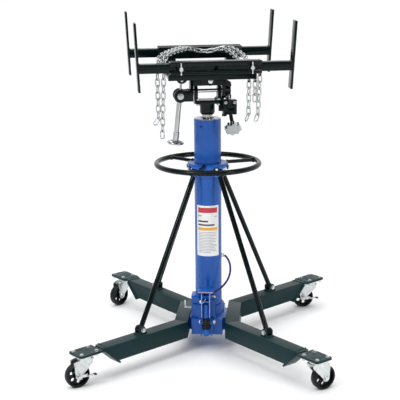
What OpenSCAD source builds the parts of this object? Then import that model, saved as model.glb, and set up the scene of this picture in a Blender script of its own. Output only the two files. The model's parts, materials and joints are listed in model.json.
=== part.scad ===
// Telescopic under-vehicle transmission jack with a foot pump.
// Frame: origin on the column axis at floor level, +Z up, +X to the right,
// -Y towards the foot pedal and the label. Millimetres.

/* [Base frame] */
// Distance from the column axis to the centre of each side beam
beam_x = 96.5; // [92:0.5:110]
// Width of the rectangular beam tube
tube_w = 52; // [44:1:60]
// Height of the rectangular beam tube
tube_h = 63.5; // [50:0.5:70]
// Height of the top of the legs above the floor
leg_top = 126; // [120:1:140]
// Direction of a leg in plan, measured from the X axis
leg_angle = 47.2; // [40:0.2:50]
// Distance in Y from the column axis to the centre of each mitre
mitre_y = 121; // [110:1:135]
// Length of a leg along its top, from the mitre to the slanted end
leg_len = 390; // [300:5:420]
// Distance along a leg from the mitre to the caster's swivel axis
caster_along = 452; // [440:1:470]
// Distance along a leg from the mitre to the foot of the stay
stay_along = 200; // [150:5:240]

/* [Casters] */
// Wheel diameter
wheel_d = 89; // [75:1:90]
// Tread width of a wheel
wheel_w = 30; // [22:1:30]
// Distance from the swivel axis back to the axle
trail = 32.5; // [25:0.5:36]
// Angle of each wheel behind its swivel axis: front left, front right, rear left, rear right
swivel_fl = 215; // [0:5:355]
swivel_fr = 35; // [0:5:355]
swivel_rl = 235; // [0:5:355]
swivel_rr = 190; // [0:5:355]

/* [Column] */
// Outside diameter of the column tube
column_d = 102; // [96:1:108]
// Height of the top of the column above the floor
column_top = 883; // [840:1:920]
// Diameter of the lifting ram
ram_d = 39; // [35:1:42]
// Height of the top face of the collar that carries the handle and the stays
collar_z = 717; // [690:1:740]
// Radius of the ring handle, to the centre of its tube
ring_r = 193; // [170:1:210]
// Diameter of the ring handle's tube
ring_tube_d = 20; // [16:1:24]

/* [Saddle head] */
// Turn of the head about the column in its resting position
head_turn = 13; // [-30:1:30]
// Fore and aft tilt of the saddle in its resting position, front side down
head_tilt = 3; // [0:0.5:4]
// Distance between the centres of the front and the rear arms
arm_sep = 384; // [370:2:400]
// Width and height of the square arm tube
arm_w = 32; // [30:0.5:32]
// Distance from the column axis to the upright at the end of an arm
arm_reach = 275; // [250:5:320]
// Length of the saddle's arm sleeves
sleeve_len = 324; // [310:2:330]
// Outward lean of the uprights at the ends of the arms
upright_lean = 3; // [0:0.5:5]

/* [Hidden] */
$fn = 64;

slate = "#3c494c";
blue = "#2a59ad";
black = "#17191b";
zinc = "#c3c8cb";
rubber = "#1c1c1e";

wall = 4;
fit = 0.05;                      // radial clearance of a running fit
leg_bottom = leg_top - tube_h;
turn_to_leg = (90 - leg_angle) / 2;
end_slope = 68;                  // how much shorter a leg is along its bottom
plate_t = 8;
plate_bottom = leg_top - plate_t;
plate_w = 76;
plate_end = caster_along + 45;
wheel_r = wheel_d / 2;
bolt_u = 32;                     // half spacings of the caster bolts
bolt_v = 25;
column_r = column_d / 2;
ram_r = ram_d / 2;
seat_z = 100;                    // where the column stands in the base block
block_h = 60;
boss_r = 60;
collar_r = 76.5;
collar_t = 15;
stay_foot = [beam_x + stay_along * cos(leg_angle), mitre_y + stay_along * sin(leg_angle),
             leg_top + 17];
stay_head_r = 70;
stay_dir = atan2(stay_foot[1], stay_foot[0]);
stay_head = [stay_head_r * cos(stay_dir), stay_head_r * sin(stay_dir), collar_z - 33];
stay_r = 9.5;
pedal_y = -112;
pedal_z = 120;
pump_y = -136;
boot_z = [102, 148];             // lower and upper end of the plunger's boot
shaft_z = 988;                   // fore and aft tilt axis
shaft_r = 7;
roll_x = 6;                      // side to side tilt axis
roll_z = 1029;
plate_z = 1065;                  // underside of the saddle plate
lug_x = -97;                     // pin of the side screw under the saddle
lug_z = 1030;
side_screw = atan2(5.7, 58);     // lean of the side screw
trunnion = [lug_x - 5.7, 0, lug_z - 58];
tilt_screw_rise = 40;            // the knob's screw slopes down to the front
knob = [80, -95, 862];
rod_pin = [80, knob[1] + 153.8 * cos(tilt_screw_rise), knob[2] + 153.8 * sin(tilt_screw_rise)];
arm_z = plate_z + 40;
sleeve_wall = 5.5;
sleeve_gap = 0.5;
sleeve_out = arm_w + 2 * (sleeve_wall + sleeve_gap);
link_l = 34;
link_w = 19;
link_d = 4.6;
pitch = 23.2;

// ---------- helpers ----------

// A box between two corners
module block(a, b) { translate(a) cube(b - a); }

// A cylinder along Z between two heights
module rod(r, z0, z1) { translate([0, 0, z0]) cylinder(r = r, h = z1 - z0); }

// A cylinder between two heights with a chamfered top
module boss(r, z0, z1, c) {
  rotate_extrude() polygon([[0, z0], [r, z0], [r, z1 - c], [r - c, z1], [0, z1]]);
}

// Plate in XY with rounded corners
module rounded_plate(lx, ly, t, r) {
  linear_extrude(t) union() {
    square([lx - 2 * r, ly], center = true);
    square([lx, ly - 2 * r], center = true);
    for (x = [-1, 1], y = [-1, 1])
      translate([x * (lx / 2 - r), y * (ly / 2 - r)]) circle(r);
  }
}

// Hex bolt along +Z: head below z = 0, nut beyond the grip
module hex_bolt(r, grip, head = 6) {
  translate([0, 0, -head]) cylinder(r = r * 1.85, h = head, $fn = 6);
  rod(r, 0, grip + head + 2);
  translate([0, 0, grip]) cylinder(r = r * 1.85, h = head, $fn = 6);
}

// Point symmetric places for the four legs
module at_leg(sx, sy) {
  mirror([sx < 0 ? 1 : 0, 0, 0]) mirror([0, sy < 0 ? 1 : 0, 0])
    translate([beam_x, mitre_y, 0]) rotate([0, 0, leg_angle]) children();
}

// Plan position of a caster's swivel axis
function caster_pos(sx, sy) = [sx * (beam_x + caster_along * cos(leg_angle)),
                               sy * (mitre_y + caster_along * sin(leg_angle)), 0];

// Turned head frame, and the frame that also tilts
module head() { rotate([0, 0, head_turn]) children(); }
module about_shaft(a) {
  translate([0, 0, shaft_z]) rotate([a, 0, 0]) translate([0, 0, -shaft_z]) children();
}
module tilted() { head() about_shaft(head_tilt) children(); }
module level() { about_shaft(-head_tilt) children(); }

// ---------- base frame ----------

module cross_beam(sx) {
  color(slate) difference() {
    translate([sx * beam_x - tube_w / 2, -150, leg_bottom]) cube([tube_w, 300, tube_h]);
    translate([sx * beam_x - tube_w / 2 + wall, -160, leg_bottom + wall])
      cube([tube_w - 2 * wall, 320, tube_h - 2 * wall]);
    for (sy = [-1, 1])
      mirror([sx < 0 ? 1 : 0, 0, 0]) mirror([0, sy < 0 ? 1 : 0, 0])
        translate([beam_x, mitre_y, 0]) rotate([0, 0, -turn_to_leg])
          translate([-100, 0, leg_bottom - 5]) cube([200, 100, tube_h + 10]);
  }
}

// Leg tube with its slanted end plate and stay bracket welded on
module leg(sx, sy) {
  d = [end_slope, tube_h] / norm([end_slope, tube_h]);
  n = [d[1], -d[0]];
  foot = [leg_len - end_slope, leg_bottom];
  color(slate) difference() {
    union() {
      at_leg(sx, sy) {
        rotate([90, 0, 0]) translate([0, 0, -tube_w / 2]) linear_extrude(tube_w)
          polygon([[-40, leg_bottom], foot, [leg_len, leg_top], [-40, leg_top]]);
        rotate([90, 0, 0]) translate([0, 0, -31]) linear_extrude(62)
          polygon([foot - 8 * d - n, foot + 80 * d - n, foot + 80 * d + 6 * n, foot - 8 * d + 6 * n]);
      }
      mirror([sx < 0 ? 1 : 0, 0, 0]) mirror([0, sy < 0 ? 1 : 0, 0])
        translate(stay_foot) rotate([0, 0, stay_dir]) stay_foot_bracket();
    }
    at_leg(sx, sy) {
      rotate([0, 0, turn_to_leg]) translate([-200, -200, leg_bottom - 10])
        cube([200, 400, tube_h + 20]);
      rotate([90, 0, 0]) translate([0, 0, -tube_w / 2 + wall])
        linear_extrude(tube_w - 2 * wall)
          polygon([[-60, leg_bottom + wall], [foot[0] - 4, leg_bottom + wall],
                   [leg_len - 18, leg_top - wall], [-60, leg_top - wall]]);
    }
  }
}

// Caster mounting plates, each welded against the slanted end of its leg
module caster_plates() {
  d = [end_slope, tube_h] / norm([end_slope, tube_h]);
  n = [d[1], -d[0]];
  foot = [leg_len - end_slope, leg_bottom];
  color(slate) for (sx = [-1, 1], sy = [-1, 1]) at_leg(sx, sy) difference() {
    translate([(372 + plate_end) / 2, 0, plate_bottom])
      rounded_plate(plate_end - 372, plate_w, plate_t, 9);
    rotate([90, 0, 0]) translate([0, 0, -60]) linear_extrude(120)
      polygon([foot - 40 * d + 6 * n, foot + 140 * d + 6 * n, foot + 140 * d - 90 * n,
               foot - 40 * d - 90 * n]);
    for (u = [-1, 1], v = [-1, 1])
      translate([caster_along + u * bolt_u, v * bolt_v, 0])
        rod(4.1, plate_bottom - 5, leg_top + 5);
  }
}

// U bracket on top of a leg; local origin at the bolt
module stay_foot_bracket() {
  h = stay_foot[2] - leg_top + 1;   // sunk 1 mm into the leg's top wall
  difference() {
    union() {
      block([-20, -15, -h], [20, 15, -h + 6]);
      for (s = [-1, 1]) {
        block([-14, s * 12.5 - 2.5, -h], [14, s * 12.5 + 2.5, 0]);
        translate([0, s * 12.5, 0]) rotate([90, 0, 0])
          cylinder(r = 14, h = 5, center = true);
      }
    }
    rotate([90, 0, 0]) cylinder(r = 5, h = 60, center = true);
  }
}

module left_cross_beam() { cross_beam(-1); }
module right_cross_beam() { cross_beam(1); }
module front_left_leg() { leg(-1, -1); }
module front_right_leg() { leg(1, -1); }
module rear_left_leg() { leg(-1, 1); }
module rear_right_leg() { leg(1, 1); }

module caster_bolts() {
  color(zinc) for (sx = [-1, 1], sy = [-1, 1]) at_leg(sx, sy)
    for (u = [-1, 1], v = [-1, 1])
      translate([caster_along + u * bolt_u, v * bolt_v, leg_top]) {
        cylinder(r = 7.4, h = 5.3, $fn = 6);
        rod(4, -plate_t - 11, 0);
        translate([0, 0, -plate_t - 9.5]) cylinder(r = 7.4, h = 6.5, $fn = 6);
      }
}

// Square caster plates with the fixed half of each swivel race
module caster_top_plates() {
  color(zinc) for (sx = [-1, 1], sy = [-1, 1]) at_leg(sx, sy)
    translate([caster_along, 0, plate_bottom]) difference() {
      union() {
        translate([0, 0, -3]) rounded_plate(84, 70, 3, 6);
        rod(25, -12, -3);
      }
      rod(8 + fit, -20, 5);
      rod(17, -13, -8);
      for (u = [-1, 1], v = [-1, 1]) translate([u * bolt_u, v * bolt_v, 0]) rod(4, -5, 5);
    }
}

// ---------- casters ----------

// Swivel frame of one caster: local X points back along the trail
module caster(sx, sy, a) {
  translate(caster_pos(sx, sy)) rotate([0, 0, a]) children();
}

// Pressed fork with kingpin and race, plus its axle bolt as a solid of its own
module caster_fork(brake = 0) {
  crown = plate_bottom - 15.3;
  side = wheel_w / 2 + 4.5;
  color(zinc) {
    difference() {
      union() {
        rod(8, crown - 4, plate_bottom - 0.4);
        rod(23, crown, crown + 3);
        translate([0, 0, crown - 4]) rounded_plate(56, 2 * side, 4, 10);
        for (s = [-1, 1]) translate([0, s * (side - 1.75), 0]) rotate([90, 0, 0])
          translate([0, 0, -1.75]) linear_extrude(3.5) union() {
            polygon([[-22, crown], [28, crown], [50, crown - 6], [50, crown - 14],
                     [trail + 13, wheel_r], [trail - 13, wheel_r], [-22, crown - 14]]);
            translate([trail, wheel_r]) circle(13);
          }
      }
      translate([trail, 0, wheel_r]) rotate([90, 0, 0]) cylinder(r = 5, h = 80, center = true);
    }
    translate([trail, 0, wheel_r]) rotate([-90, 0, 0]) {
      rod(5, -side - 2, side + 2 + brake);
      translate([0, 0, -side - 6]) cylinder(r = 9, h = 6, $fn = 6);
      translate([0, 0, side + brake]) cylinder(r = 9, h = 6, $fn = 6);
    }
  }
}

// Wheel with a hub and six round holes, axis along local Y
module caster_wheel() {
  color(rubber) translate([trail, 0, wheel_r]) rotate([90, 0, 0]) difference() {
    rotate_extrude() polygon([[5 + fit, -15.6], [12, -15.6], [13, -11], [35, -11],
      [37, -wheel_w / 2], [wheel_r - 3, -wheel_w / 2], [wheel_r, -wheel_w / 2 + 4],
      [wheel_r, wheel_w / 2 - 4], [wheel_r - 3, wheel_w / 2], [37, wheel_w / 2],
      [35, 11], [13, 11], [12, 15.6], [5 + fit, 15.6]]);
    for (k = [0 : 5]) rotate([0, 0, k * 60]) translate([24, 0, 0])
      cylinder(r = 6.5, h = 60, center = true);
  }
}

// Side brake: an eye on the axle bolt and a toe bar that points away from the trail
module brake_lever() {
  y = wheel_w / 2 + 4.5 + 0.3;
  color(zinc) translate([trail, 0, wheel_r]) difference() {
    union() {
      rotate([-90, 0, 0]) rod(12, y, y + 4);
      block([-30, y, -5], [0, y + 4, 5]);
      block([-62, y, -2], [-28, y + 13, 2]);
    }
    rotate([-90, 0, 0]) rod(5 + fit, 0, 60);
  }
}

module caster_fork_fl() { caster(-1, -1, swivel_fl) caster_fork(4.6); }
module caster_fork_fr() { caster(1, -1, swivel_fr) caster_fork(); }
module caster_fork_rl() { caster(-1, 1, swivel_rl) caster_fork(); }
module caster_fork_rr() { caster(1, 1, swivel_rr) caster_fork(4.6); }
module caster_wheel_fl() { caster(-1, -1, swivel_fl) caster_wheel(); }
module caster_wheel_fr() { caster(1, -1, swivel_fr) caster_wheel(); }
module caster_wheel_rl() { caster(-1, 1, swivel_rl) caster_wheel(); }
module caster_wheel_rr() { caster(1, 1, swivel_rr) caster_wheel(); }
module brake_lever_fl() { caster(-1, -1, swivel_fl) brake_lever(); }
module brake_lever_rr() { caster(1, 1, swivel_rr) brake_lever(); }

// ---------- column ----------

// Foot casting between the side beams, with the column socket and the pedal ears
module base_block() {
  color(blue) difference() {
    union() {
      block([-59, -100, leg_top - block_h], [59, 100, leg_top]);
      block([-(beam_x - tube_w / 2), -60, leg_top - block_h + 5],
            [beam_x - tube_w / 2, 60, leg_top - 6]);
      boss(boss_r, leg_top - 1, leg_top + 39, 3);
      for (s = [-1, 1]) {
        block([s * 21 - 2.75, pedal_y - 13, leg_top - block_h + 4], [s * 21 + 2.75, -99, pedal_z]);
        translate([s * 21, pedal_y, pedal_z]) rotate([0, 90, 0])
          cylinder(r = 13, h = 5.5, center = true);
      }
    }
    rod(column_r + fit, seat_z, 300);
    translate([0, pedal_y, pedal_z]) rotate([0, 90, 0]) cylinder(r = 5 + fit, h = 70, center = true);
  }
}

module column_tube() {
  color(blue) difference() {
    rod(column_r, seat_z, column_top);
    rod(column_r - wall, seat_z - 5, column_top + 5);
    translate([0, 0, column_top - 21]) rotate([0, 0, -123]) rotate([0, 90, 0])
      cylinder(r = 2.5, h = 80);
  }
}

// Collar round the column, with paired ears under it for the stays
module column_collar() {
  color(blue) difference() {
    union() {
      rod(collar_r, collar_z - collar_t, collar_z);
      rod(column_r + 6, collar_z - collar_t - 34, collar_z - collar_t + 2);
      for (sx = [-1, 1], sy = [-1, 1])
        mirror([sx < 0 ? 1 : 0, 0, 0]) mirror([0, sy < 0 ? 1 : 0, 0])
          rotate([0, 0, stay_dir]) for (s = [-1, 1]) {
            block([column_r - 1, s * 12.5 - 2.5, collar_z - 48],
                  [stay_head_r, s * 12.5 + 2.5, collar_z - collar_t + 2]);
            translate([stay_head_r, s * 12.5, collar_z - 33]) rotate([90, 0, 0])
              cylinder(r = 15, h = 5, center = true);
          }
    }
    rod(column_r + fit, 0, 2000);
    for (sx = [-1, 1], sy = [-1, 1])
      mirror([sx < 0 ? 1 : 0, 0, 0]) mirror([0, sy < 0 ? 1 : 0, 0])
        translate(stay_head) rotate([0, 0, stay_dir]) {
          rotate([90, 0, 0]) cylinder(r = 5, h = 60, center = true);
          block([-16, -8.5, -16], [30, 8.5, 16]);
        }
  }
}

module gland_nut() {
  color(zinc) difference() {
    union() {
      rod(column_r - wall - fit, column_top - 25, column_top);
      boss(column_r - 1.5, column_top, column_top + 3, 1);
    }
    rod(ram_r + fit, 0, 2000);
  }
}

module pressure_cylinder() {
  color(zinc) difference() {
    rod(30, seat_z, column_top - 25);
    rod(25, seat_z + 6, column_top);
  }
}

// Ring handle with its three spokes welded on
module ring_handle() {
  color(black) difference() {
    translate([0, 0, collar_z - 4]) union() {
      rotate_extrude($fn = 128) translate([ring_r, 0]) circle(ring_tube_d / 2, $fn = 48);
      for (k = [0 : 2]) rotate([0, 0, 23 + 120 * k]) translate([60, 0, 0]) rotate([0, 90, 0])
        cylinder(r = 7, h = ring_r - 62);
    }
    rod(collar_r, 0, 2000);
  }
}

// Inclined stay rod with a thick eye at each end
module stay(sx, sy) {
  run = norm([stay_foot[0] - stay_head[0], stay_foot[1] - stay_head[1]]);
  drop = stay_head[2] - stay_foot[2];
  len = norm([run, drop]);
  color(black) mirror([sx < 0 ? 1 : 0, 0, 0]) mirror([0, sy < 0 ? 1 : 0, 0])
    translate(stay_foot) rotate([0, 0, stay_dir]) difference() {
      union() {
        rotate([0, -atan2(run, drop), 0]) rod(stay_r, 8, len - 8);
        for (p = [[0, 0, 0], [-run, 0, drop]]) translate(p) rotate([90, 0, 0])
          cylinder(r = 11.6, h = 16, center = true);
      }
      for (p = [[0, 0, 0], [-run, 0, drop]]) translate(p) rotate([90, 0, 0])
        cylinder(r = 5, h = 60, center = true);
    }
}
module column_stays() { for (sx = [-1, 1], sy = [-1, 1]) stay(sx, sy); }

// Bolts through both ends of the stays
module frame_bolts() {
  color(zinc) for (sx = [-1, 1], sy = [-1, 1], p = [stay_foot, stay_head])
    mirror([sx < 0 ? 1 : 0, 0, 0]) mirror([0, sy < 0 ? 1 : 0, 0])
      translate(p) rotate([0, 0, stay_dir]) translate([0, 15, 0]) rotate([90, 0, 0])
        hex_bolt(4.9, 30);
}

// Printed label wrapped round the front of the column
module label_plate() {
  color("white") translate([0, 0, 362]) rotate([0, 0, -88 - 52])
    rotate_extrude(angle = 104) translate([column_r, 0]) square([0.6, 197]);
}

// ---------- pump ----------

// Pump casting: valve housing to the left, plunger barrel to the front
module pump_body() {
  color(blue) difference() {
    union() {
      block([-32, -98, leg_top], [32, -40, 205]);
      block([-60, -86, leg_top], [-30, -30, 215]);
      block([-9, pump_y, 152], [9, -97, 196]);
      translate([0, pump_y, 0]) rod(13.6, boot_z[1], 200);
    }
    rod(boss_r, 0, leg_top + 39.5);
    rod(column_r, 0, 2000);
    translate([0, pump_y, 0]) rod(8 + fit, 100, 182);
    block([-52, -120, 181], [-18, -78, 186]);
    translate([-50, -64, 160]) rotate([0, -90, 0]) rod(4 + fit, -5, 40);
  }
}

module pedal_pin() {
  color(zinc) translate([0, pedal_y, pedal_z]) rotate([0, 90, 0]) {
    rod(5, -28, 33);
    rod(8, -28, -25);
    rod(8, 25, 27);
    translate([0, 0, 30]) rotate([20, 90, 0]) cylinder(r = 1.6, h = 22, center = true);
  }
}

// Pump plunger with its round foot
module pump_plunger() {
  color(blue) translate([0, pump_y, 0]) {
    rod(8, 90, 176);
    rotate_extrude() polygon([[0, 74], [10, 74], [14.2, 79], [14.2, 97], [12, 100], [0, 100]]);
  }
}

// Ribbed rubber boot over the plunger
module plunger_boot() {
  color(rubber) translate([0, pump_y, 0]) rotate_extrude()
    polygon(concat([[8 + fit, boot_z[0]]],
      [for (k = [0 : 10]) [k % 2 == 0 ? 13.3 : 10.5,
                           boot_z[0] + k * (boot_z[1] - boot_z[0]) / 10]],
      [[8 + fit, boot_z[1]]]));
}

// Foot pedal: two side plates joined by the tread, a cross bar and a riveted pin
module foot_pedal() {
  color(blue) difference() {
    union() {
      for (s = [-1, 1]) translate([s * 16 - 1.6, 0, 0]) {
        rotate([90, 0, 90]) linear_extrude(3.2)
          polygon([[pedal_y - 13, pedal_z], [pedal_y - 13, 140], [-158, 152], [-158, 251],
                   [-101, 251], [-101, 200], [pedal_y + 11, 150], [pedal_y + 11, pedal_z]]);
        translate([0, pedal_y, pedal_z]) rotate([0, 90, 0]) cylinder(r = 11.3, h = 3.2);
      }
      block([-29.5, -160, 250], [29.5, -100, 255]);
      block([-15, -106, 222], [15, -101.5, 251]);
      translate([0, -148, 212]) rotate([0, 90, 0]) {
        rod(4, -17, 22);
        rod(6.5, -24, -17);
      }
    }
    translate([0, pedal_y, pedal_z]) rotate([0, 90, 0])
      cylinder(r = 5 + fit, h = 80, center = true);
  }
}

// Release valve spindle with its small lever
module release_lever() {
  color(zinc) translate([0, -64, 160]) {
    rotate([0, -90, 0]) rod(4, 46, 88);
    block([-88, -4, 0], [-84, 4, 26]);
    translate([-86, 0, 26]) rotate([0, 90, 0]) cylinder(r = 4, h = 4, center = true);
  }
}

// Point on a cubic curve
function cubic(a, b, c, d, t) = a * pow(1 - t, 3) + 3 * b * t * pow(1 - t, 2)
  + 3 * c * t * t * (1 - t) + d * pow(t, 3);
hose_a = [62, 2, 352];
hose_b = [98, -4, 326];
hose_c = [100, -70, 262];
hose_d = [24, -72, 226];
hose_e = [24, -72, 213];

// Hydraulic hose from the column's side port down to the pump
module hose() {
  n = 18;
  k = 12;
  r = 4;
  centre = [for (i = [0 : n]) cubic(hose_a, hose_b, hose_c, hose_d, i / n)];
  path = concat(centre, [hose_e]);
  rings = [for (i = [0 : len(path) - 1])
    let (t = (i == len(path) - 1 ? [0, 0, -1]
              : i == 0 ? [1, 0, 0]
              : (path[i + 1] - path[i - 1]) / norm(path[i + 1] - path[i - 1])),
         s = cross(t, [0.3, 1, 0.2]), u = s / norm(s), v = cross(t, u))
      [for (j = [0 : k - 1]) path[i] + r * (cos(j * 360 / k) * u + sin(j * 360 / k) * v)]];
  m = len(path);
  pts = [for (q = rings) for (p = q) p];
  faces = concat(
    [[for (j = [0 : k - 1]) j]],
    [for (i = [0 : m - 2]) for (j = [0 : k - 1])
      [i * k + j, (i + 1) * k + j, (i + 1) * k + (j + 1) % k]],
    [for (i = [0 : m - 2]) for (j = [0 : k - 1])
      [i * k + j, (i + 1) * k + (j + 1) % k, i * k + (j + 1) % k]],
    [[for (j = [k - 1 : -1 : 0]) (m - 1) * k + j]]);
  color("#3a3f96") polyhedron(points = pts, faces = faces);
}

// Crimped end fittings: one on the column's side, one on the pump
module hose_fittings() {
  color(zinc) {
    difference() {
      translate([0, hose_a[1], 0]) {
        translate([column_r - 2, 0, 352]) rotate([0, 90, 0])
          cylinder(r = 9, h = 7, $fn = 6);
        translate([column_r, 0, 352]) rotate([0, 90, 0]) rod(6.5, 0, 11);
      }
      rod(column_r, 0, 2000);
    }
    translate([hose_e[0], hose_e[1], 205]) {
      cylinder(r = 9, h = 4, $fn = 6);
      rod(6.5, 0, 8);
    }
  }
}

// ---------- lifting ram and swivel head ----------

module ram() {
  color(zinc) {
    rod(ram_r, 140, 935);
    rod(25 - fit, 120, 150);
  }
}

// Lower yoke: socket on the ram, flange, two ears and the bracket for the knob screw
module lower_yoke() {
  color(black) head() difference() {
    union() {
      rotate_extrude() polygon([[0, 900], [24, 900], [28, 908], [28, 942], [0, 942]]);
      block([-46, -30, 941], [52, 30, 955]);
      for (s = [-1, 1]) {
        block([s * 43.75 - 6.25, -20, 941], [s * 43.75 + 6.25, 20, shaft_z]);
        translate([s * 43.75, 0, shaft_z]) rotate([0, 90, 0])
          cylinder(r = 20, h = 12.5, center = true);
      }
      block([40, -20, 912], [102, -10, 955]);
    }
    rod(ram_r + fit, 890, 936);
    translate([0, 0, shaft_z]) rotate([0, 90, 0]) cylinder(r = shaft_r, h = 200, center = true);
    screw_line() rod(11, 0, 153.8);
    for (x = [-38, 38], y = [-23, 23]) translate([x, y, 0]) rod(4.2, 930, 960);
    for (x = [60, 94]) translate([x, -30, 948]) rotate([-90, 0, 0]) rod(3.5, 0, 30);
  }
}

// Frame of the knob's screw: origin at the knob, +Z along the screw, up and to the rear
module screw_line() {
  translate(knob) rotate([tilt_screw_rise - 90, 0, 0]) children();
}

// Block that guides the knob's screw, bolted on the front of the lower yoke
module screw_nut_block() {
  color(black) head() difference() {
    union() {
      block([52, -54, 903], [102, -20, 957]);
      translate([58, -37, 903]) rod(9, -7, 1);
    }
    screw_line() rod(9.3, 0, 153.8);
    for (x = [60, 94]) translate([x, -60, 948]) rotate([-90, 0, 0]) rod(3.5, 0, 60);
    translate([68, -60, 922]) cube([24, 14, 10]);
  }
}

module tilt_shaft() {
  color(zinc) head() translate([0, 0, shaft_z]) rotate([0, 90, 0]) {
    cylinder(r = shaft_r, h = 146, center = true);
    translate([0, 0, -76]) cylinder(r = 10, h = 5);
  }
}

// Upper yoke: inverted U on the tilt shaft, with the forked arm for the side screw
module tilt_yoke() {
  color(black) tilted() difference() {
    union() {
      for (s = [-1, 1]) {
        block([s * 60 - 6, -20, 975], [s * 60 + 6, 20, 1040]);
        translate([s * 60, 0, shaft_z]) rotate([0, 90, 0])
          cylinder(r = 20, h = 12, center = true);
      }
      block([-66, -18, 1009], [66, 18, 1040]);
      block([roll_x - 20, -24, 1011], [roll_x + 20, 24, 1044]);
      // sloping shoulder to the right and folded strap to the left
      rotate([90, 0, 0]) translate([0, 0, -17]) linear_extrude(34)
        polygon([[20, 1011], [62, 1011], [84, 1000], [88, 1006], [86, 1020], [45, 1043],
                 [42, 1057], [20, 1057]]);
      rotate([90, 0, 0]) translate([0, 0, -16]) linear_extrude(32)
        polygon([[-65.5, 1031], [-65.5, 1050], [-36, 1056], [-36, 1050], [-54.5, 1046],
                 [-54.5, 1031]]);
      translate([66, 0, shaft_z]) rotate([0, 90, 0]) cylinder(r = 19, h = 20);
      // forked arm
      block([-65, -21, 953], [-55, 21, 990]);
      for (s = [-1, 1]) {
        block([trunnion[0], s * 17.5 - 4.5, trunnion[2] - 20],
              [-55.5, s * 17.5 + 4.5, trunnion[2] + 20]);
        translate([trunnion[0], s * 17.5, trunnion[2]]) rotate([90, 0, 0])
          cylinder(r = 24, h = 9, center = true);
      }
      // lever and pin for the knob's screw
      level() {
        block([55, 4, rod_pin[2] - 6], [65, rod_pin[1] + 6, shaft_z - 4]);
        translate([55, rod_pin[1], rod_pin[2]]) rotate([0, 90, 0]) {
          cylinder(r = 12, h = 10);
          cylinder(r = 6, h = 36);
          translate([0, 0, 34]) cylinder(r = 9, h = 4);
        }
      }
    }
    translate([-90, 0, shaft_z]) rotate([0, 90, 0]) cylinder(r = shaft_r + fit, h = 163.5);
    translate([roll_x, 0, roll_z]) rotate([90, 0, 0]) cylinder(r = 7, h = 60, center = true);
    translate(trunnion) rotate([90, 0, 0]) cylinder(r = 12 + fit, h = 60, center = true);
  }
}

module roll_pin() {
  color(zinc) tilted() translate([roll_x, 0, roll_z]) rotate([90, 0, 0]) {
    cylinder(r = 7, h = 80, center = true);
    translate([0, 0, 37]) cylinder(r = 9.5, h = 7, $fn = 6);
    translate([0, 0, -43]) cylinder(r = 9.5, h = 6, $fn = 6);
  }
}

// Frame of the side screw: origin at the trunnion, +Z up along the screw
module side_line() { translate(trunnion) rotate([0, side_screw, 0]) children(); }

// Cross-drilled trunnion that carries the adjuster tube
module screw_trunnion() {
  color(zinc) tilted() difference() {
    translate(trunnion) rotate([90, 0, 0]) {
      cylinder(r = 12, h = 50, center = true);
      cylinder(r = 15, h = 25, center = true);
    }
    side_line() rod(6.5, -40, 40);
  }
}

// Long tube that turns on the stud, held under the trunnion
module adjuster_tube() {
  color(zinc) tilted() side_line() difference() {
    union() {
      rod(9.3, -162, -16.3);
      rod(12, -24, -16.3);
      rod(11.5, -170, -138);
    }
    rod(6.5, -110, 0);
    rod(6, -200, -150);
  }
}

// Handwheel with three spokes at the foot of the adjuster tube
module handwheel() {
  color(zinc) tilted() side_line() translate([0, 0, -179]) {
    rotate_extrude() translate([27.5, 0]) circle(4.5);
    rod(12, -5, 9);
    for (k = [0 : 2]) rotate([0, 0, 30 + 120 * k]) rotate([0, 90, 0]) rod(3.5, 5, 26);
    rod(5.9, 8, 25);
  }
}

// Threaded stud hung from the lug under the saddle
module adjuster_stud() {
  color(zinc) tilted() side_line() {
    rod(4.5, -42, 50);
    translate([0, 0, norm([5.7, 58])]) rotate([90, 0, 0]) {
      cylinder(r = 10, h = 14, center = true);
      cylinder(r = 5, h = 42, center = true);
    }
  }
}

// Eye on the upper end of the knob's screw
module screw_rod_end() {
  color(zinc) head() difference() {
    union() {
      translate([73, rod_pin[1], rod_pin[2]]) rotate([0, 90, 0]) cylinder(r = 12, h = 14);
      screw_line() rod(8, 128, 148);
    }
    translate([0, rod_pin[1], rod_pin[2]]) rotate([0, 90, 0]) cylinder(r = 6 + fit, h = 200);
    screw_line() rod(4.5, 120, 138);
  }
}

module tilt_screw() {
  color(black) head() screw_line() {
    rod(7, 7, 127.5);
    rod(4.4, 120, 137.5);
  }
}

// Knob with eight lobes
module star_knob() {
  color(zinc) head() screw_line() {
    translate([0, 0, -12]) linear_extrude(16) union() {
      circle(26);
      for (k = [0 : 7]) rotate([0, 0, 45 * k]) translate([25, 0]) circle(6.5);
    }
    rod(11, 3, 7);
    rod(17, -15, -11);
  }
}

// ---------- saddle ----------

// Saddle plate with its front lip, pivot lugs and the lug of the side screw
module saddle_plate() {
  color(slate) tilted() difference() {
    union() {
      block([-168, -196, plate_z], [146, 165, plate_z + 8]);
      block([-168, -202, plate_z - 4], [146, -184, plate_z + 17]);
      for (s = [-1, 1]) {
        block([roll_x - 36, s * 30 - 5, roll_z], [roll_x + 20, s * 30 + 5, plate_z + 1]);
        block([roll_x - 36, s * 30 - 5, roll_z - 14], [roll_x, s * 30 + 5, roll_z + 1]);
        translate([roll_x, s * 30, roll_z]) rotate([90, 0, 0])
          cylinder(r = 18, h = 10, center = true);
        translate([lug_x, s * 14, lug_z + 10]) rotate([90, 0, 0])
          cylinder(r = 22, h = 8, center = true);
        block([lug_x - 22, s * 14 - 4, lug_z + 10], [lug_x + 22, s * 14 + 4, plate_z + 1]);
      }
      level() for (p = [strand_a, strand_b]) translate(p) chain_eye();
    }
    translate([roll_x, 0, roll_z]) rotate([90, 0, 0])
      cylinder(r = 7 + fit, h = 80, center = true);
    translate([lug_x, 0, lug_z]) rotate([90, 0, 0])
      cylinder(r = 5 + fit, h = 60, center = true);
    for (x = [-60, 60], y = [-60, 60]) translate([x, y, 0]) rod(7, plate_z - 5, plate_z + 20);
  }
}

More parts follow.
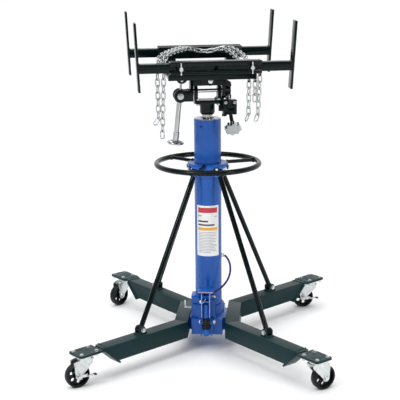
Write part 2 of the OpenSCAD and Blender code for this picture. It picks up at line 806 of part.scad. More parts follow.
// Wire eye that a strand hangs from; origin where the strand's first link starts
module chain_eye() {
  translate([0, 0, 4.5]) rotate([90, 0, 110]) rotate_extrude() translate([6.5, 0]) circle(2);
}

// Open fronted sleeve that holds two arms; sy is the side it faces
module sleeve(sy) {
  o = sleeve_out / 2;
  i = arm_w / 2 + sleeve_gap;
  h = sleeve_len / 2;
  color(black) tilted() {
    if (sy < 0) level() translate(strand_c) chain_eye();
    translate([0, sy * arm_sep / 2, arm_z]) difference() {
    union() {
      block([-h, -o, -o], [h, o, o]);
      for (x = [-124, 124])
        block([x - 26, sy > 0 ? -40 : -10, sy > 0 ? -32 : -23], [x + 26, 8, -o + 1]);
      for (z = [-1, 1]) translate([-h, sy * (o - 4), z * (o - 4)]) rotate([0, 90, 0])
        cylinder(r = 6, h = sleeve_len);
    }
    block([-h - 1, -i, -i], [h + 1, i, i]);
    difference() {
      block([-h - 1, sy > 0 ? i - 1 : -o - 5, -8], [h + 1, sy > 0 ? o + 5 : -i + 1, 8]);
      for (x = [-126, 126]) block([x - 11, -60, -10], [x + 11, 60, 10]);
    }
    for (x = [-126, 126]) translate([x, 0, 0]) rotate([90, 0, 0])
      translate([0, 0, sy > 0 ? -40 : 10]) cylinder(r = 4.5, h = 30);
    }
  }
}
module front_sleeve() { sleeve(-1); }
module rear_sleeve() { sleeve(1); }

// Tee bolts that clamp the arms, one solid each
module clamp_bolts() {
  color(zinc) tilted() for (sy = [-1, 1], x = [-126, 126])
    translate([x, sy * arm_sep / 2, arm_z]) rotate([sy < 0 ? 90 : -90, 0, 0])
      translate([0, 0, arm_w / 2 + 0.3]) {
        rod(4.4, 0, 20);
        rod(7, 12, 26);
        translate([0, 0, 20]) rotate([90, 0, 0]) cylinder(r = 2.5, h = 42, center = true);
      }
}

// Square tube arm with its flat upright welded on
module arm(sx, sy) {
  w = arm_w / 2;
  color(black) tilted() translate([0, sy * arm_sep / 2, arm_z]) mirror([sx < 0 ? 1 : 0, 0, 0]) {
    difference() {
      block([8, -w, -w], [arm_reach - 3, w, w]);
      block([0, -w + 3, -w + 3], [arm_reach - 20, w - 3, w - 3]);
    }
    translate([arm_reach, 0, 0]) rotate([0, upright_lean, 0])
      block([-4, -20, -82], [4, 20, 158]);
  }
}
module front_left_arm() { arm(-1, -1); }
module front_right_arm() { arm(1, -1); }
module rear_left_arm() { arm(-1, 1); }
module rear_right_arm() { arm(1, 1); }

// ---------- chains ----------

// One welded link, its long axis along Z
module link() {
  e = (link_l - link_w) / 2;
  r = (link_w - link_d) / 2;
  for (s = [-1, 1]) {
    translate([s * r, 0, 0]) rod(link_d / 2, -e, e);
    translate([0, 0, s * e]) rotate([s * 90, 0, 0])
      rotate_extrude(angle = 180) translate([r, 0]) circle(link_d / 2, $fn = 24);
  }
}

// Length along a polyline up to point i
function reach(p, i) = i == 0 ? 0 : reach(p, i - 1) + norm(p[i] - p[i - 1]);

// Point at distance s along a polyline
function along(p, s, i = 1) =
  i == len(p) - 1 || s <= norm(p[i] - p[i - 1])
    ? p[i - 1] + (p[i] - p[i - 1]) * s / norm(p[i] - p[i - 1])
    : along(p, s - norm(p[i] - p[i - 1]), i + 1);

// Corner cutting rounds a polyline
function round_path(p) = concat([p[0]],
  [for (i = [0 : len(p) - 2]) each [p[i] * 0.75 + p[i + 1] * 0.25, p[i] * 0.25 + p[i + 1] * 0.75]],
  [p[len(p) - 1]]);

// A run of links along a path, each turned a quarter against the last
module chain_run(p) {
  q = round_path(round_path(p));
  n = floor(reach(q, len(q) - 1) / pitch);
  for (k = [0 : n - 1]) {
    a = along(q, k * pitch);
    b = along(q, (k + 1) * pitch);
    d = b - a;
    translate((a + b) / 2) rotate([0, acos(d[2] / norm(d)), atan2(d[1], d[0])])
      rotate([0, 0, k % 2 == 0 ? 45 : 135]) link();
  }
}

// Two chains laid over the saddle from the front left to the front right
module draped_chains() {
  z = plate_z;
  color(zinc) tilted() {
    chain_run([[-203, -158, z + 42], [-197, -144, z + 66], [-176, -100, z + 76],
      [-92, 104, z + 68], [-60, 158, z + 61], [14, 150, z + 44], [88, 158, z + 61],
      [122, 104, z + 62], [134, -100, z + 50], [128, -140, z + 34]]);
    chain_run([[-179, -158, z + 42], [-174, -142, z + 68], [-156, -104, z + 78],
      [-78, 72, z + 68], [-46, 134, z + 64], [14, 126, z + 44], [74, 134, z + 62],
      [98, 72, z + 58], [106, -100, z + 42], [100, -140, z + 30]]);
  }
}

// Hanging strand of n links, in world directions, its top at the origin
module tail(n, lean = 0) {
  for (k = [0 : n - 1]) translate([lean * k, 0, -(k + 0.5) * pitch])
    rotate([0, 0, k % 2 == 0 ? 20 : 110]) link();
}

// A last link turned out of line
module end_link(n, lean, side, a = 20) {
  translate([lean * (n - 0.5), 0, -n * pitch]) rotate([0, -side * a, 0])
    translate([0, 0, -pitch / 2]) rotate([0, 0, n % 2 == 0 ? 20 : 110]) link();
}

// Where the left strands leave the draped chains, in the turned head frame
drape_end = [-158 * cos(head_tilt) - (plate_z + 42 - shaft_z) * sin(head_tilt),
             shaft_z - 158 * sin(head_tilt) + (plate_z + 42 - shaft_z) * cos(head_tilt)];
module left_chain_tails() {
  color(zinc) head() {
    translate([-203, drape_end[0], drape_end[1]]) { tail(8, 0.3); end_link(8, 0.3, -1, 35); }
    translate([-179, drape_end[0], drape_end[1]]) tail(11, -0.9);
  }
}

// Where the right strands hang from their eyes, in the turned head frame
strand_a = [119, -200, 1041];
strand_b = [141, -200, 1041];
strand_c = [158, -200, 1062];
module right_chain_tails() {
  color(zinc) head() {
    translate(strand_a) { tail(5, -0.4); end_link(5, -0.4, -1); }
    translate(strand_b) tail(3, -0.5);
    translate(strand_c) { tail(6, -1.2); end_link(6, -1.2, -1); }
  }
}

// ---------- drawing ----------

left_cross_beam();
right_cross_beam();
front_left_leg();
front_right_leg();
rear_left_leg();
rear_right_leg();
caster_plates();
caster_bolts();
caster_top_plates();
base_block();
column_tube();
column_collar();
gland_nut();
pressure_cylinder();
ring_handle();
column_stays();
frame_bolts();
pump_body();
pedal_pin();
hose();
hose_fittings();
label_plate();
pump_plunger();
plunger_boot();
foot_pedal();
release_lever();
caster_fork_fl();
caster_fork_fr();
caster_fork_rl();
caster_fork_rr();
caster_wheel_fl();
caster_wheel_fr();
caster_wheel_rl();
caster_wheel_rr();
brake_lever_fl();
brake_lever_rr();
ram();
lower_yoke();
screw_nut_block();
tilt_shaft();
tilt_yoke();
roll_pin();
screw_trunnion();
adjuster_tube();
handwheel();
adjuster_stud();
screw_rod_end();
tilt_screw();
star_knob();
saddle_plate();
front_sleeve();
rear_sleeve();
clamp_bolts();
front_left_arm();
front_right_arm();
rear_left_arm();
rear_right_arm();
draped_chains();
left_chain_tails();
right_chain_tails();
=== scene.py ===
import json
import math
import bmesh
import bpy
from mathutils import Matrix, Vector

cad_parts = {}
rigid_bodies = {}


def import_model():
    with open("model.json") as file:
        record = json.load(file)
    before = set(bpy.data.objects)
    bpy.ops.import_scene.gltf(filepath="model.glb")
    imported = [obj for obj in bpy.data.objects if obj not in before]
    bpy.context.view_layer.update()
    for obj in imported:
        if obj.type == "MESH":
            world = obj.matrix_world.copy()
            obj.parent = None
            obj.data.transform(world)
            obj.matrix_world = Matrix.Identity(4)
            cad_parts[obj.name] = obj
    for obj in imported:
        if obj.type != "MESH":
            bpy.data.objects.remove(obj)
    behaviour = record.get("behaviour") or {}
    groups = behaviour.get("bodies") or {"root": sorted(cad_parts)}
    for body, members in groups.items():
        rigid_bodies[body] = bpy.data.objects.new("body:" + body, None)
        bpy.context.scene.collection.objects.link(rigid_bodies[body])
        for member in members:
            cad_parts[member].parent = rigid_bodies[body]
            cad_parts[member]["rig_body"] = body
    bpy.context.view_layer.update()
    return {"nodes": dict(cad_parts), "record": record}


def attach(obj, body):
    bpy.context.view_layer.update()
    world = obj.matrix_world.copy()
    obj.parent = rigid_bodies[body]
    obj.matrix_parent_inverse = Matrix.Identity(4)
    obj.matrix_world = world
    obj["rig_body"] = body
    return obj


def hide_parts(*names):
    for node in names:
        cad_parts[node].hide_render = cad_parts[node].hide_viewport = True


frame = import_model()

NODES = frame["nodes"]
BODY_OF = {n: o["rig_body"] for n, o in NODES.items()}
MM = 0.001
I4 = Matrix.Identity(4)


# ---------- frames of the part, in metres ----------

def T(x, y, z):
    """A shift given in millimetres, for frames that are in metres."""
    return Matrix.Translation((x * MM, y * MM, z * MM))


def mm(x, y, z):
    """A shift in millimetres, for parts that are still in millimetres."""
    return Matrix.Translation((x, y, z))


def R(axis, degrees):
    return Matrix.Rotation(math.radians(degrees), 4, axis)


# The head at rest: turned about the column, and tilted back about its shaft
HEAD_TURN, HEAD_TILT, SHAFT_Z = 13, 3, 988
HEAD = R("Z", HEAD_TURN)
TILTED = HEAD @ T(0, 0, SHAFT_Z) @ R("X", HEAD_TILT) @ T(0, 0, -SHAFT_Z)
# The star knob's face, and the rise of its screw from there
KNOB, SCREW_RISE = (80, -95, 862), 40
KNOB_LINE = HEAD @ T(*KNOB) @ R("X", SCREW_RISE - 90)
# The side adjuster from its trunnion up to the pin of its stud
TRUNNION, STUD_RUN, STUD_RISE = (-102.7, 0, 972), 5.7, 58
SIDE_LINE = TILTED @ T(*TRUNNION) @ R("Y", math.degrees(math.atan2(STUD_RUN, STUD_RISE)))
# The side to side tilt pin, and the rails that hold the sliding arms
ROLL_X, ROLL_Z = 6, 1029
RAIL_Y, RAIL_Z, CLAMP_X, ARM_REACH = 192, 1105, 126, 275
# The column
COLUMN_R, COLUMN_TOP, COLUMN_WALL, COLUMN_FOOT = 51, 883, 4, 100
# The base: beams, mitred legs, stays and casters
CORNERS = [(sx, sy) for sx in (-1, 1) for sy in (-1, 1)]
BEAM_X, MITRE_Y, LEG_TOP, LEG_ANGLE = 96.5, 121, 126, 47.2
PLATE_ALONG, BOLT_U, BOLT_V = 452, 32, 25
STAY_ALONG, STAY_HEAD_R, STAY_HEAD_Z, STAY_FOOT_Z = 200, 70, 684, 143
STAY_FOOT = (BEAM_X + STAY_ALONG * math.cos(math.radians(LEG_ANGLE)),
             MITRE_Y + STAY_ALONG * math.sin(math.radians(LEG_ANGLE)), STAY_FOOT_Z)
STAY_TURN = math.degrees(math.atan2(STAY_FOOT[1], STAY_FOOT[0]))
STAY_RUN = math.hypot(STAY_FOOT[0], STAY_FOOT[1]) - STAY_HEAD_R
STAY_DROP = STAY_HEAD_Z - STAY_FOOT_Z
STAY_R, EYE_R, EYE_HALF, EYE_BORE = 9.5, 11.6, 8, 5.2
# Each caster: its corner and the heading of its fork
CASTERS = {"fl": (-1, -1, 215), "fr": (1, -1, 35), "rl": (-1, 1, 235), "rr": (1, 1, 190)}
WHEEL_R, TRAIL, WEB_HALF, WHEEL_PHASE = 44.5, 32.5, 3.2, 24
HOLE_COUNT, HOLE_RING, HOLE_R = 6, 24, 7.0
# Distance from the pedal's middle to the inner face of each side plate
PEDAL_HALF = 14.4
# The axes of the hose's port on the column and of the one on the pump
COLUMN_PORT, PUMP_PORT = (0, 2, 352), (24, -72, 0)
# Control points of the hose's curve, and the end of its straight stretch into the pump
HOSE = [(62, 2, 352), (98, -4, 326), (100, -70, 262), (24, -72, 226), (24, -72, 213)]


def mirrored(sx, sy):
    return Matrix.Diagonal((sx, sy, 1, 1))


def at_stay_foot(sx, sy):
    return mirrored(sx, sy) @ mm(*STAY_FOOT) @ R("Z", STAY_TURN)


def at_leg(sx, sy):
    return mirrored(sx, sy) @ mm(BEAM_X, MITRE_Y, 0) @ R("Z", LEG_ANGLE)


def at_caster(key):
    sx, sy, swing = CASTERS[key]
    reach = math.radians(LEG_ANGLE)
    return (mm(sx * (BEAM_X + PLATE_ALONG * math.cos(reach)),
               sy * (MITRE_Y + PLATE_ALONG * math.sin(reach)), 0) @ R("Z", swing))


# ---------- camera ----------

def make_camera():
    cam = bpy.data.objects.new("camera", bpy.data.cameras.new("camera"))
    bpy.context.scene.collection.objects.link(cam)
    cam.data.sensor_width = 36
    cam.data.lens = 94.336
    cam.data.clip_end = 60
    heading, pitch, roll = 4.7369, 13.165, -0.507
    cam.matrix_world = (Matrix.Translation((0.2905, -3.8744, 1.4789)) @ R("Z", heading)
                        @ R("X", 90 - pitch) @ R("Z", roll))
    bpy.context.scene.camera = cam


# ---------- shader helpers ----------

class Shader:
    """A Principled material built up node by node, in object coordinates (metres)."""

    def __init__(self, name):
        self.mat = bpy.data.materials.new(name)
        self.mat.use_nodes = True
        self.tree = self.mat.node_tree
        self.bsdf = self.tree.nodes["Principled BSDF"]
        self.where = self.node("ShaderNodeTexCoord").outputs["Object"]

    def node(self, kind, **values):
        n = self.tree.nodes.new(kind)
        for key, value in values.items():
            if hasattr(n, key):
                setattr(n, key, value)
            else:
                n.inputs[key.replace("_", " ")].default_value = value
        return n

    def link(self, a, b):
        self.tree.links.new(a, b)

    def noise(self, scale, detail=3.0, rough=0.5, stretch=None):
        n = self.node("ShaderNodeTexNoise", Scale=scale, Detail=detail, Roughness=rough)
        source = self.where
        if stretch:
            m = self.node("ShaderNodeMapping")
            m.inputs["Scale"].default_value = stretch
            self.link(source, m.inputs["Vector"])
            source = m.outputs["Vector"]
        self.link(source, n.inputs["Vector"])
        return n.outputs["Fac"]

    def ramp(self, fac, *stops):
        n = self.node("ShaderNodeValToRGB")
        e = n.color_ramp.elements
        while len(e) < len(stops):
            e.new(0.5)
        for k, (pos, value) in enumerate(stops):
            e[k].position = pos
            e[k].color = value if hasattr(value, "__len__") else (value, value, value, 1)
        self.link(fac, n.inputs["Fac"])
        return n.outputs["Color"]

    def mix(self, fac, a, b, blend="MIX"):
        n = self.node("ShaderNodeMix", data_type="RGBA", blend_type=blend)
        for socket, value in ((0, fac), (6, a), (7, b)):
            if hasattr(value, "is_output"):
                self.link(value, n.inputs[socket])
            else:
                n.inputs[socket].default_value = value
        return n.outputs[2]

    def math(self, op, a, b=0.0, clamp=False):
        n = self.node("ShaderNodeMath", operation=op, use_clamp=clamp)
        for k, value in ((0, a), (1, b)):
            if hasattr(value, "is_output"):
                self.link(value, n.inputs[k])
            else:
                n.inputs[k].default_value = value
        return n.outputs[0]

    def bump(self, height, strength, distance, before=None):
        n = self.node("ShaderNodeBump", Strength=strength, Distance=distance)
        self.link(height, n.inputs["Height"])
        if before is not None:
            self.link(before, n.inputs["Normal"])
        return n.outputs["Normal"]

    def edges(self, radius=0.0015, low=0.02, high=0.25):
        """1 along sharp edges and 0 on flat faces."""
        bevel = self.node("ShaderNodeBevel", samples=4, Radius=radius)
        geo = self.node("ShaderNodeNewGeometry")
        dot = self.node("ShaderNodeVectorMath", operation="DOT_PRODUCT")
        self.link(bevel.outputs["Normal"], dot.inputs[0])
        self.link(geo.outputs["Normal"], dot.inputs[1])
        away = self.math("SUBTRACT", 1.0, dot.outputs["Value"])
        return self.ramp(away, (low, 0.0), (high, 1.0))

    def upward(self):
        """1 on faces that look up, 0 on the rest: where dust settles."""
        geo = self.node("ShaderNodeNewGeometry")
        split = self.node("ShaderNodeSeparateXYZ")
        self.link(geo.outputs["Normal"], split.inputs[0])
        return self.ramp(split.outputs["Z"], (0.55, 0.0), (0.95, 1.0))

    def set(self, **values):
        for key, value in values.items():
            socket = self.bsdf.inputs[key.replace("_", " ")]
            if hasattr(value, "is_output"):
                self.link(value, socket)
            else:
                socket.default_value = value
        return self.mat


def rgb(r, g, b):
    return (r, g, b, 1.0)


def scaled(c, k):
    return (c[0] * k, c[1] * k, c[2] * k, 1.0)


def paint(name, base, rough, coat, wear_and_highlight, dust=0.12, peel=0.10, wear_and_highlight_colour=None, shine=0.3):
    """Sprayed paint: faint cloudiness, orange peel, dust on upward faces, and lighter edges that are
    partly worn paint and partly painted highlights.
    """
    s = Shader(name)
    clouds = s.ramp(s.noise(9, 4), (0.3, 0.0), (0.7, 1.0))
    colour = s.mix(clouds, scaled(base, 0.86), scaled(base, 1.12))
    specks = s.ramp(s.noise(260, 2), (0.66, 0.0), (0.74, 1.0))
    colour = s.mix(s.math("MULTIPLY", specks, 0.25), colour, scaled(base, 1.9))
    dusty = s.math("MULTIPLY", s.math("MULTIPLY", s.upward(), clouds), dust)
    colour = s.mix(dusty, colour, rgb(0.42, 0.42, 0.40))
    # Lighter colour along the edges: worn paint, and also painted highlights where edges would catch
    # the light.
    chips = s.ramp(s.noise(70, 5, 0.65), (0.48, 0.0), (0.60, 1.0))
    rubbed_and_highlit = s.math("MULTIPLY", s.math("MULTIPLY", s.edges(), chips), wear_and_highlight, True)
    colour = s.mix(rubbed_and_highlit, colour, wear_and_highlight_colour or scaled(base, 3.2))
    scratch = s.ramp(s.noise(40, 6, 0.7, (1, 1, 9)), (0.66, 0.0), (0.72, 1.0))
    r = s.math("ADD", s.math("MULTIPLY", clouds, 0.08), rough - 0.04)
    r = s.math("ADD", r, s.math("MULTIPLY", scratch, 0.10))
    r = s.math("ADD", r, s.math("MULTIPLY", dusty, 0.9), True)
    normal = s.bump(s.noise(330, 2), peel, 0.0006)
    normal = s.bump(s.noise(28, 3), 0.05, 0.002, normal)
    return s.set(Base_Color=colour, Roughness=r, Normal=normal, Coat_Weight=coat,
                 Coat_Roughness=0.06, Specular_IOR_Level=shine)


def plated(name, base, rough, mottle, scale=90, bump=0.08):
    """Bright plating: a mottled tint and roughness, with faint handling marks."""
    s = Shader(name)
    clouds = s.ramp(s.noise(scale, 4, 0.6), (0.3, 0.0), (0.7, 1.0))
    tint = s.ramp(s.noise(14, 3), (0.35, rgb(0.93, 0.96, 1.0)), (0.65, rgb(1.0, 0.97, 0.90)))
    colour = s.mix(clouds, scaled(base, 1.0 - mottle), scaled(base, 1.0 + mottle * 0.5))
    colour = s.mix(0.5, colour, s.mix(1.0, colour, tint, "MULTIPLY"))
    grime = s.ramp(s.noise(35, 6, 0.7), (0.60, 0.0), (0.78, 1.0))
    colour = s.mix(s.math("MULTIPLY", grime, 0.45), colour, scaled(base, 0.35))
    r = s.math("ADD", s.math("MULTIPLY", clouds, 0.12), rough - 0.06)
    r = s.math("ADD", r, s.math("MULTIPLY", grime, 0.15), True)
    normal = s.bump(s.noise(420, 2), bump, 0.0004)
    return s.set(Base_Color=colour, Metallic=1.0, Roughness=r, Normal=normal)


def rubber(name, base, rough):
    s = Shader(name)
    clouds = s.ramp(s.noise(30, 4), (0.3, 0.0), (0.7, 1.0))
    dusty = s.ramp(s.noise(16, 6, 0.7), (0.52, 0.0), (0.75, 1.0))
    colour = s.mix(clouds, scaled(base, 0.8), scaled(base, 1.3))
    colour = s.mix(s.math("MULTIPLY", dusty, 0.05), colour, rgb(0.20, 0.20, 0.19))
    r = s.math("ADD", s.math("MULTIPLY", clouds, 0.12), rough, True)
    normal = s.bump(s.noise(600, 2), 0.12, 0.0004)
    return s.set(Base_Color=colour, Roughness=r, Normal=normal, Specular_IOR_Level=0.2)


MAT = {}


def make_materials():
    # The edge colours below are worn paint and also painted edge highlights.
    MAT["slate"] = paint("slate_paint", rgb(0.005, 0.026, 0.030), 0.38, 0.02, 0.6, dust=0.06,
                         wear_and_highlight_colour=rgb(0.20, 0.26, 0.27), shine=0.13)
    MAT["blue"] = paint("blue_paint", rgb(0.005, 0.086, 0.39), 0.26, 0.12, 0.35, dust=0.03,
                        wear_and_highlight_colour=rgb(0.25, 0.33, 0.50))
    MAT["black"] = paint("black_paint", rgb(0.0015, 0.0055, 0.0060), 0.17, 0.03, 0.5, dust=0.01,
                         wear_and_highlight_colour=rgb(0.24, 0.29, 0.29), shine=0.16)
    MAT["zinc"] = plated("bright_zinc", rgb(0.66, 0.69, 0.70), 0.30, 0.22)
    MAT["chrome"] = plated("chrome", rgb(0.78, 0.80, 0.82), 0.12, 0.06, 40, 0.02)
    MAT["chain"] = plated("chain_zinc", rgb(0.54, 0.57, 0.58), 0.22, 0.25)
    MAT["ram"] = plated("ram_chrome", rgb(0.44, 0.45, 0.46), 0.16, 0.05, 18, 0.01)
    MAT["steel"] = plated("plain_steel", rgb(0.42, 0.44, 0.45), 0.27, 0.12)
    MAT["rubber"] = rubber("black_rubber", rgb(0.005, 0.0065, 0.0065), 0.40)
    MAT["hose"] = rubber("hose_sheath", rgb(0.020, 0.022, 0.15), 0.30)
    # Pale paints for the pedal's edge strips: worn edges, and painted highlights where the edges
    # catch the light.
    MAT["worn_blue"] = paint("worn_blue_edge", rgb(0.22, 0.32, 0.62), 0.35, 0.1, 0.6)
    MAT["worn_and_highlit_pad"] = paint("tread_edge_wear_and_highlight", rgb(0.45, 0.33, 0.42), 0.5, 0.0, 0.5)
    MAT["core"] = rubber("wheel_core", rgb(0.004, 0.0055, 0.0055), 0.28)
    MAT["frosted"] = plated("frosted_plate", rgb(0.62, 0.66, 0.67), 0.55, 0.10, 60, 0.2)
    for name, colour in (("red", rgb(0.55, 0.03, 0.05)), ("amber", rgb(0.80, 0.38, 0.03)),
                         ("grey", rgb(0.36, 0.36, 0.37)), ("black", rgb(0.03, 0.03, 0.035))):
        ink = Shader("label_ink_" + name)
        MAT["label_" + name] = ink.set(
            Base_Color=ink.mix(ink.noise(60, 4), scaled(colour, 0.85), scaled(colour, 1.15)),
            Roughness=ink.math("ADD", ink.math("MULTIPLY", ink.noise(90), 0.1), 0.3))
    # Black for holes and sockets: painted shade standing in for the inside of a recess.
    MAT["dark"] = rubber("recess_painted_shade", rgb(0.004, 0.004, 0.005), 0.6)
    s = Shader("label_film")
    clouds = s.ramp(s.noise(20, 4), (0.3, 0.0), (0.7, 1.0))
    MAT["label"] = s.set(Base_Color=s.mix(clouds, rgb(0.80, 0.80, 0.79), rgb(0.88, 0.88, 0.88)),
                         Roughness=s.math("ADD", s.math("MULTIPLY", clouds, 0.1), 0.3))


SLOT_MAT = {"slate_paint": "slate", "blue_paint": "blue", "black_paint": "black",
            "bright_zinc": "zinc", "chrome": "chrome", "plain_steel": "steel",
            "black_rubber": "rubber", "hose_sheath": "hose", "label_film": "label"}


# ---------- stage ----------

# The wall behind the jack is white and the room in front of it is dim
FRONT_WALL_END, BACK_WALL_START = 0.38, 0.80


def make_stage():
    world = bpy.data.worlds.new("studio")
    bpy.context.scene.world = world
    world.use_nodes = True
    tree = world.node_tree
    coord = tree.nodes.new("ShaderNodeTexCoord")
    split = tree.nodes.new("ShaderNodeSeparateXYZ")
    ramp = tree.nodes.new("ShaderNodeValToRGB")
    ramp.color_ramp.interpolation = "EASE"
    ramp.color_ramp.elements[0].position = FRONT_WALL_END
    ramp.color_ramp.elements[0].color = rgb(0.10, 0.11, 0.12)
    ramp.color_ramp.elements[1].position = BACK_WALL_START
    ramp.color_ramp.elements[1].color = rgb(1.0, 1.0, 1.0)
    shift = tree.nodes.new("ShaderNodeMath")
    shift.operation = "MULTIPLY_ADD"
    shift.inputs[1].default_value = 0.5
    shift.inputs[2].default_value = 0.5
    tree.links.new(coord.outputs["Generated"], split.inputs[0])
    tree.links.new(split.outputs["Y"], shift.inputs[0])
    tree.links.new(shift.outputs[0], ramp.inputs["Fac"])
    tree.links.new(ramp.outputs["Color"], tree.nodes["Background"].inputs["Color"])
    tree.nodes["Background"].inputs["Strength"].default_value = 1.0
    bm = bmesh.new()
    bmesh.ops.create_grid(bm, x_segments=1, y_segments=1, size=60)
    mesh = bpy.data.meshes.new("floor")
    bm.to_mesh(mesh)
    floor = bpy.data.objects.new("floor", mesh)
    bpy.context.scene.collection.objects.link(floor)
    s = Shader("floor")
    s.set(Base_Color=s.mix(s.noise(2), rgb(0.90, 0.90, 0.90), rgb(0.93, 0.93, 0.93)),
          Roughness=0.9)
    floor.data.materials.append(s.mat)
    for name, place, aim, size, power in (
            ("key", (-2.2, -3.0, 3.2), (0, 0, 0.7), 1.3, 70),
            ("fill", (3.0, -2.2, 1.8), (0, 0, 0.8), 1.0, 26),
            ("strip", (-0.9, -4.2, 1.4), (0, 0, 0.7), 0.5, 10)):
        light = bpy.data.objects.new(name, bpy.data.lights.new(name, "AREA"))
        light.data.size = size
        light.data.energy = power
        light.location = place
        light.rotation_euler = (Vector(aim) - Vector(place)).to_track_quat("-Z", "Y").to_euler()
        bpy.context.scene.collection.objects.link(light)
    sun = bpy.data.objects.new("overhead", bpy.data.lights.new("overhead", "SUN"))
    sun.data.energy = 2.1
    sun.data.angle = math.radians(70)
    sun.rotation_euler = (math.radians(12), math.radians(-6), 0)
    bpy.context.scene.collection.objects.link(sun)
    bpy.context.scene.view_settings.view_transform = "Standard"


# ---------- mesh helpers, in millimetres ----------

def add_ring(bm, m, pts):
    return [bm.verts.new(m @ Vector(p)) for p in pts]


def bridge(bm, a, b, mat, closed=True):
    n = len(a)
    for k in range(n if closed else n - 1):
        quad = [a[k], a[(k + 1) % n], b[(k + 1) % n], b[k]]
        unique = list(dict.fromkeys(quad))
        if len(unique) > 2:
            bm.faces.new(unique).material_index = mat


def cap(bm, ring, mat, flip):
    bm.faces.new(ring[::-1] if flip else ring).material_index = mat


def lathe(bm, profile, m=I4, mat=0, n=48):
    """Turns a profile of (radius, height) points about Z; equal first and last points make a ring."""
    loop = profile[0] == profile[-1]
    rings = []
    for r, z in (profile[:-1] if loop else profile):
        if r < 1e-6:
            v = bm.verts.new(m @ Vector((0, 0, z)))
            rings.append([v] * n)
        else:
            rings.append(add_ring(bm, m, [(r * math.cos(2 * math.pi * k / n),
                                           r * math.sin(2 * math.pi * k / n), z)
                                          for k in range(n)]))
    for a, b in zip(rings, rings[1:] + (rings[:1] if loop else [])):
        bridge(bm, a, b, mat)
    if not loop:
        for ring, flip in ((rings[0], True), (rings[-1], False)):
            if ring[0] is not ring[1]:
                cap(bm, ring, mat, flip)


def rod(bm, r, z0, z1, m=I4, mat=0, c=0.6, n=32):
    """A turned pin with small chamfers."""
    lathe(bm, [(r - c, z0), (r, z0 + c), (r, z1 - c), (r - c, z1)], m, mat, n)


def torus(bm, big, small, m=I4, mat=0, n=96, k=20):
    lathe(bm, [(big + small * math.cos(2 * math.pi * j / k), small * math.sin(2 * math.pi * j / k))
               for j in range(k)] + [(big + small, 0.0)], m, mat, n)


def prism(bm, outline, z0, z1, m=I4, mat=0, bevel=0.8, segments=2):
    """An extruded outline with all its edges rounded."""
    area = sum(p[0] * q[1] - q[0] * p[1] for p, q in zip(outline, outline[1:] + outline[:1]))
    if area < 0:
        outline = outline[::-1]
    low = add_ring(bm, m, [(x, y, z0) for x, y in outline])
    top = add_ring(bm, m, [(x, y, z1) for x, y in outline])
    n = len(low)
    faces = [bm.faces.new(low[::-1]), bm.faces.new(top)]
    faces += [bm.faces.new([low[k], low[(k + 1) % n], top[(k + 1) % n], top[k]])
              for k in range(n)]
    for f in faces:
        f.material_index = mat
    if bevel:
        edges = {e for f in faces for e in f.edges if e.calc_face_angle(0) > 0.5}
        bmesh.ops.bevel(bm, geom=list(edges), offset=bevel, segments=segments, profile=0.5,
                        affect="EDGES", clamp_overlap=True, material=-1)


def box(bm, lo, hi, m=I4, mat=0, bevel=0.8):
    prism(bm, [(lo[0], lo[1]), (hi[0], lo[1]), (hi[0], hi[1]), (lo[0], hi[1])], lo[2], hi[2],
          m, mat, bevel)


def sweep(bm, pts, radius, m=I4, mat=0, n=12, closed=False):
    """A tube along points; radius is a number or a function of the point's index."""
    pts = [Vector(p) for p in pts]
    size = radius if callable(radius) else (lambda k: radius)
    last = len(pts) - 1
    rings, side = [], None
    for k, p in enumerate(pts):
        if closed:
            t = pts[(k + 1) % len(pts)] - pts[k - 1]
        else:
            t = pts[min(k + 1, last)] - pts[max(k - 1, 0)]
        t.normalize()
        if side is None:
            side = t.orthogonal().normalized()
        side = (side - t * side.dot(t)).normalized()
        up = t.cross(side)
        rings.append(add_ring(bm, m, [p + size(k) * (side * math.cos(2 * math.pi * j / n)
                                                     + up * math.sin(2 * math.pi * j / n))
                                      for j in range(n)]))
    for a, b in zip(rings, rings[1:] + (rings[:1] if closed else [])):
        bridge(bm, a, b, mat)
    if not closed:
        cap(bm, rings[0], mat, True)
        cap(bm, rings[-1], mat, False)


def weld(bm, a, b, r, m=I4, mat=0):
    """A rippled weld bead from a to b."""
    a, b = Vector(a), Vector(b)
    n = max(6, int((b - a).length / 2.2))
    pts = [a.lerp(b, k / n) for k in range(n + 1)]
    sweep(bm, pts, lambda k: r * ((0.78 if k % 2 else 1.0) if 0 < k < n else 0.45), m, mat, 8)


def hexagon(r):
    return [(r * math.cos(math.pi * k / 3), r * math.sin(math.pi * k / 3)) for k in range(6)]


def hex_head(bm, r, z0, z1, m=I4, mat=0):
    """Hexagon with a turned chamfer on its outer face and a washer face under it."""
    h = z1 - z0
    prism(bm, hexagon(r), z0 + 0.12 * h, z1 - 0.12 * h, m, mat, 0.5)
    lathe(bm, [(r * 0.84, z0), (r * 0.84, z1 - 0.1 * h), (r * 0.74, z1), (0, z1)], m, mat, 32)


def finish_piece(bm, name, body, mats, at=I4, stands_for=(), angle=34):
    """Turns millimetre mesh parts into one visible piece that rides on a body."""
    bmesh.ops.transform(bm, matrix=at @ Matrix.Scale(MM, 4), verts=bm.verts)
    bmesh.ops.recalc_face_normals(bm, faces=bm.faces)
    mesh = bpy.data.meshes.new(name)
    bm.to_mesh(mesh)
    bm.free()
    mesh.shade_smooth()
    mesh.set_sharp_from_angle(angle=math.radians(angle))
    for mat in mats:
        mesh.materials.append(MAT[mat])
    obj = bpy.data.objects.new(name, mesh)
    bpy.context.scene.collection.objects.link(obj)
    if stands_for:
        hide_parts(*stands_for)
    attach(obj, body)
    return obj


# ---------- carried-over CAD shapes, with rounded edges ----------

